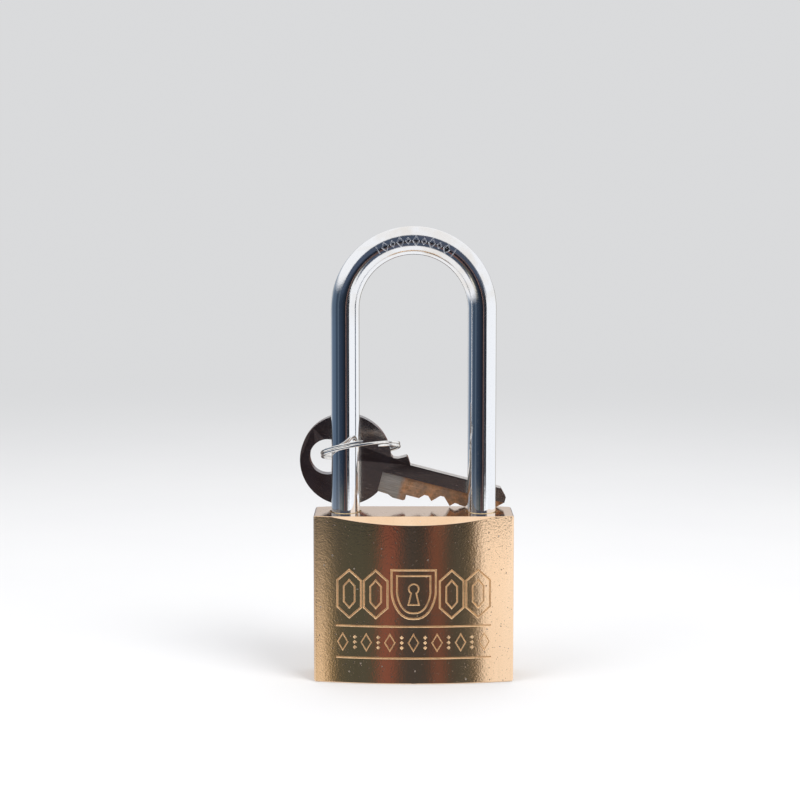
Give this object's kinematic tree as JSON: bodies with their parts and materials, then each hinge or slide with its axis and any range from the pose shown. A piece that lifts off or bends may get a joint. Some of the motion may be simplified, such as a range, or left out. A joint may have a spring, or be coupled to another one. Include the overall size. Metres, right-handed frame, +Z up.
{
  "type": "padlock",
  "caption": "Brass-bodied padlock with a chromed round shackle, a pin-tumbler cylinder opening in its bottom face, and keys on a split ring hung on the shackle.",
  "frame": {"origin": "centre of the keyway's mouth in the body's bottom face, on the cylinder's axis, midway between the body's sides and faces", "axes": "+Z up, along the shackle's legs, away from the bottom face; +X from the heel leg (which carries the key ring) to the toe leg; +Y to the back of the body, so the viewer of the pictured face looks along +Y"},
  "size_m": [0.0538, 0.0217, 0.1139],
  "materials": {
    "brass": "polished, fine grain",
    "plug_brass": "turned, satin",
    "pin_brass": "turned, satin",
    "chrome": "polished",
    "latch_steel": "machined",
    "spring_steel": "drawn wire",
    "key_nickel": "nickel plated",
    "ring_steel": "nickel plated wire"
  },
  "bodies": {
    "body": {"body": "brass", "shackle_spring": "spring_steel", "shackle_retaining_pin": "pin_brass", "plug_retaining_pin": "pin_brass", "latch_spring": "spring_steel", "latch_bore_plug": "brass", "pin_spring_1": "spring_steel", "pin_spring_2": "spring_steel", "pin_spring_3": "spring_steel", "pin_spring_4": "spring_steel", "pin_spring_5": "spring_steel", "pin_cap_1": "pin_brass", "pin_cap_2": "pin_brass", "pin_cap_3": "pin_brass", "pin_cap_4": "pin_brass", "pin_cap_5": "pin_brass"},
    "shackle": {"shackle": "chrome"},
    "plug": {"plug": "plug_brass", "cam": "latch_steel"},
    "latch_left": {"latch_left": "latch_steel"},
    "latch_right": {"latch_right": "latch_steel"},
    "key_pin_1": {"key_pin_1": "pin_brass"},
    "driver_pin_1": {"driver_pin_1": "pin_brass"},
    "key_pin_2": {"key_pin_2": "pin_brass"},
    "driver_pin_2": {"driver_pin_2": "pin_brass"},
    "key_pin_3": {"key_pin_3": "pin_brass"},
    "driver_pin_3": {"driver_pin_3": "pin_brass"},
    "key_pin_4": {"key_pin_4": "pin_brass"},
    "driver_pin_4": {"driver_pin_4": "pin_brass"},
    "key_pin_5": {"key_pin_5": "pin_brass"},
    "driver_pin_5": {"driver_pin_5": "pin_brass"},
    "key_ring": {"key_ring": "ring_steel"},
    "key_front": {"key_front": "key_nickel"},
    "key_rear": {"key_rear": "key_nickel"}
  },
  "joints": [
    {"name": "shackle_lift", "type": "slide", "parent": "body", "child": "shackle", "axis": [0, 0, 1], "range_m": [0, 0.011], "deforming": ["shackle_spring"]},
    {"name": "latch_left_slide", "type": "slide", "parent": "body", "child": "latch_left", "axis": [1, 0, 0], "range_m": [0, 0.0032], "deforming": ["latch_spring"]},
    {"name": "latch_right_slide", "type": "slide", "parent": "body", "child": "latch_right", "axis": [-1, 0, 0], "range_m": [0, 0.0032]},
    {"name": "plug_turn", "type": "hinge", "parent": "body", "child": "plug", "pos_m": [0, 0, 0.015], "axis": [0, 0, 1], "range_deg": [0, 90]},
    {"name": "key_pin_1_slide", "type": "slide", "parent": "plug", "child": "key_pin_1", "axis": [1, 0, 0], "range_m": [-0.00262, 0]},
    {"name": "driver_pin_1_slide", "type": "slide", "parent": "body", "child": "driver_pin_1", "axis": [1, 0, 0], "range_m": [-0.00262, 0], "deforming": ["pin_spring_1"]},
    {"name": "key_pin_2_slide", "type": "slide", "parent": "plug", "child": "key_pin_2", "axis": [1, 0, 0], "range_m": [-0.00182, 0]},
    {"name": "driver_pin_2_slide", "type": "slide", "parent": "body", "child": "driver_pin_2", "axis": [1, 0, 0], "range_m": [-0.00182, 0], "deforming": ["pin_spring_2"]},
    {"name": "key_pin_3_slide", "type": "slide", "parent": "plug", "child": "key_pin_3", "axis": [1, 0, 0], "range_m": [-0.00272, 0]},
    {"name": "driver_pin_3_slide", "type": "slide", "parent": "body", "child": "driver_pin_3", "axis": [1, 0, 0], "range_m": [-0.00272, 0], "deforming": ["pin_spring_3"]},
    {"name": "key_pin_4_slide", "type": "slide", "parent": "plug", "child": "key_pin_4", "axis": [1, 0, 0], "range_m": [-0.00172, 0]},
    {"name": "driver_pin_4_slide", "type": "slide", "parent": "body", "child": "driver_pin_4", "axis": [1, 0, 0], "range_m": [-0.00172, 0], "deforming": ["pin_spring_4"]},
    {"name": "key_pin_5_slide", "type": "slide", "parent": "plug", "child": "key_pin_5", "axis": [1, 0, 0], "range_m": [-0.00112, 0]},
    {"name": "driver_pin_5_slide", "type": "slide", "parent": "body", "child": "driver_pin_5", "axis": [1, 0, 0], "range_m": [-0.00112, 0], "deforming": ["pin_spring_5"]},
    {"name": "key_ring_swivel", "type": "hinge", "parent": "shackle", "child": "key_ring", "pos_m": [-0.01715, 0, 0.05735], "axis": [0, 0, 1], "range_deg": [0, 330]},
    {"name": "key_front_swing", "type": "hinge", "parent": "key_ring", "child": "key_front", "pos_m": [-0.02185, 0.00495, 0.05528], "axis": [0, -1, 0], "range_deg": [0, 6]},
    {"name": "key_rear_swing", "type": "hinge", "parent": "key_ring", "child": "key_rear", "pos_m": [-0.02185, 0.0071, 0.05528], "axis": [0, -1, 0], "range_deg": [0, 2]}
  ],
  "couplings": [
    {"joint": "latch_left_slide", "follows": "shackle_lift", "ratio": 0.2909},
    {"joint": "latch_right_slide", "follows": "shackle_lift", "ratio": 0.2909},
    {"joint": "plug_turn", "follows": "shackle_lift", "rad_per_m": 142.79},
    {"joint": "driver_pin_1_slide", "follows": "key_pin_1_slide", "ratio": 1},
    {"joint": "driver_pin_2_slide", "follows": "key_pin_2_slide", "ratio": 1},
    {"joint": "driver_pin_3_slide", "follows": "key_pin_3_slide", "ratio": 1},
    {"joint": "driver_pin_4_slide", "follows": "key_pin_4_slide", "ratio": 1},
    {"joint": "driver_pin_5_slide", "follows": "key_pin_5_slide", "ratio": 1}
  ]
}
